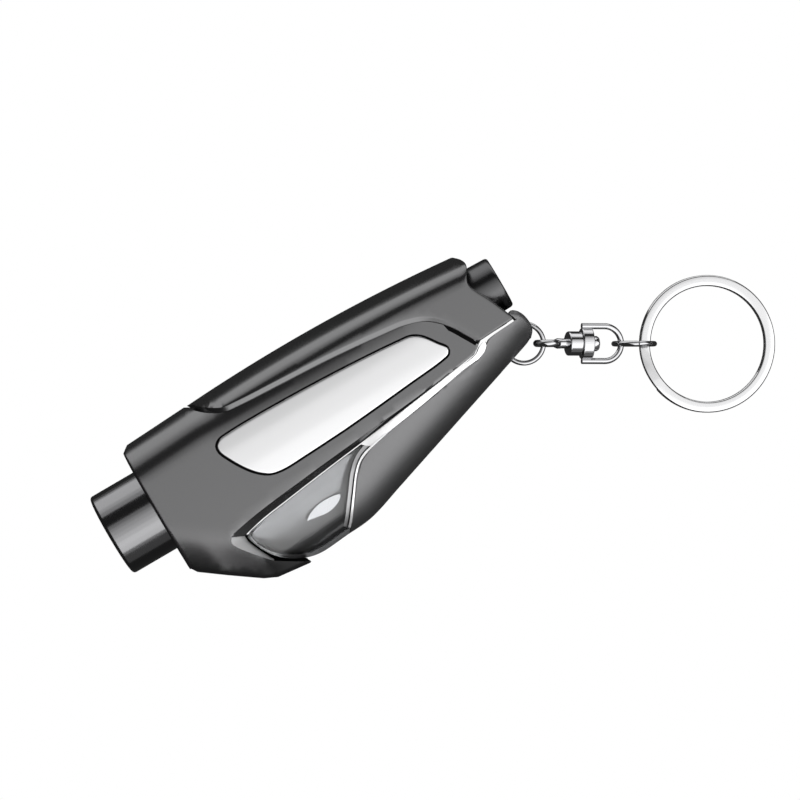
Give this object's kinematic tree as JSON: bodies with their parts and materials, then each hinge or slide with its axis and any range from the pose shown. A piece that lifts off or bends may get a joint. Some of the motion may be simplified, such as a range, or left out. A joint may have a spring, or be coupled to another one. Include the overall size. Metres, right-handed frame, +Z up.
{
  "type": "keychain flashlight",
  "caption": "Flat keychain flashlight and rescue tool: twist-on lamp at the rear, spring-loaded window punch in front, belt cutter under a slide-off clip, swivel chain and split key ring.",
  "frame": {"origin": "middle of the press sleeve's striking end, on the punch axis", "axes": "+X along the punch from the striking end to the rear, +Y towards the ridge, +Z up through the thickness, the tool lying on its right side"},
  "size_m": [0.123, 0.0511, 0.018],
  "materials": {
    "black_shell": "satin, fine",
    "mirror_plate": "polished plate",
    "black_chrome": "polished dark plating",
    "gloss_black": "high gloss",
    "clear_plastic": "clear moulded plastic",
    "blade_steel": "ground",
    "spring_steel": "drawn wire",
    "tool_steel": "turned",
    "hard_tip": "ground",
    "screw_steel": "zinc",
    "circuit_board": "laminate",
    "chain_chrome": "polished",
    "key_ring_nickel": "bright nickel"
  },
  "bodies": {
    "casing": {"left_shell": "black_shell", "right_shell": "black_shell", "ridge_cover": "black_shell", "left_side_plate": "mirror_plate", "right_side_plate": "mirror_plate", "casing_screws": "screw_steel", "sleeve_spring": "spring_steel", "barrel_tube": "tool_steel", "barrel_bush": "tool_steel", "pin_spring": "spring_steel", "main_spring": "spring_steel", "barrel_plug": "tool_steel", "contact_spring": "spring_steel", "button_cells": "screw_steel", "cell_contact": "spring_steel", "cutter_blade": "blade_steel"},
    "sleeve": {"press_sleeve": "black_chrome"},
    "punch": {"punch_pin": "tool_steel", "punch_tip": "hard_tip"},
    "hammer": {"hammer": "tool_steel"},
    "lamp": {"lamp_head": "gloss_black", "lamp_lens": "clear_plastic", "lamp_reflector": "mirror_plate", "lamp_led": "clear_plastic", "lamp_board": "circuit_board"},
    "clip": {"blade_guard": "clear_plastic", "clip_left_shell": "gloss_black", "clip_right_shell": "gloss_black", "clip_pin": "tool_steel"},
    "first_ring": {"clip_ring": "chain_chrome"},
    "swivel": {"swivel_eye": "chain_chrome", "swivel_collar": "chain_chrome", "swivel_rivet": "chain_chrome"},
    "bail": {"swivel_bridge": "chain_chrome", "swivel_bail": "chain_chrome"},
    "second_ring": {"link_ring": "chain_chrome"},
    "key_ring": {"key_ring": "key_ring_nickel"}
  },
  "joints": [
    {"name": "sleeve_press", "type": "slide", "parent": "casing", "child": "sleeve", "axis": [1, 0, 0], "range_m": [0, 0.0075], "stiffness_N_per_m": 2500, "springref_m": -0.004, "deforming": ["sleeve_spring"]},
    {"name": "punch_slide", "type": "slide", "parent": "casing", "child": "punch", "axis": [1, 0, 0], "range_m": [0, 0.0063], "stiffness_N_per_m": 400, "springref_m": -0.004, "deforming": ["pin_spring"]},
    {"name": "hammer_slide", "type": "slide", "parent": "casing", "child": "hammer", "axis": [1, 0, 0], "range_m": [0, 0.0075], "stiffness_N_per_m": 6000, "springref_m": -0.004, "deforming": ["main_spring"]},
    {"name": "lamp_twist", "type": "hinge", "parent": "casing", "child": "lamp", "pos_m": [0.0771, 0.00425, 0], "axis": [1, 0, 0], "range_deg": [0, 90]},
    {"name": "clip_slide", "type": "slide", "parent": "casing", "child": "clip", "axis": [0.9945, 0.1045, 0], "range_m": [0, 0.066]},
    {"name": "first_ring_swing", "type": "hinge", "parent": "clip", "child": "first_ring", "pos_m": [0.07987, -0.00654, 0], "axis": [0, 0, 1], "range_deg": [-60, 10]},
    {"name": "swivel_pitch", "type": "hinge", "parent": "first_ring", "child": "swivel", "pos_m": [0.08467, -0.00934, 0], "axis": [0.5045, 0.8634, 0], "range_deg": [-80, 30]},
    {"name": "swivel_spin", "type": "hinge", "parent": "swivel", "child": "bail", "pos_m": [0.08467, -0.00934, 0], "axis": [0.8243, -0.4817, -0.2974], "continuous": true},
    {"name": "second_ring_pitch", "type": "hinge", "parent": "bail", "child": "second_ring", "pos_m": [0.09691, -0.0165, -0.00442], "axis": [0.5045, 0.8634, 0], "range_deg": [-75, 75]},
    {"name": "key_ring_swing", "type": "hinge", "parent": "second_ring", "child": "key_ring", "pos_m": [0.10212, -0.01954, -0.00532], "axis": [0.1112, -0.065, 0.9917], "range_deg": [-50, 50]}
  ]
}
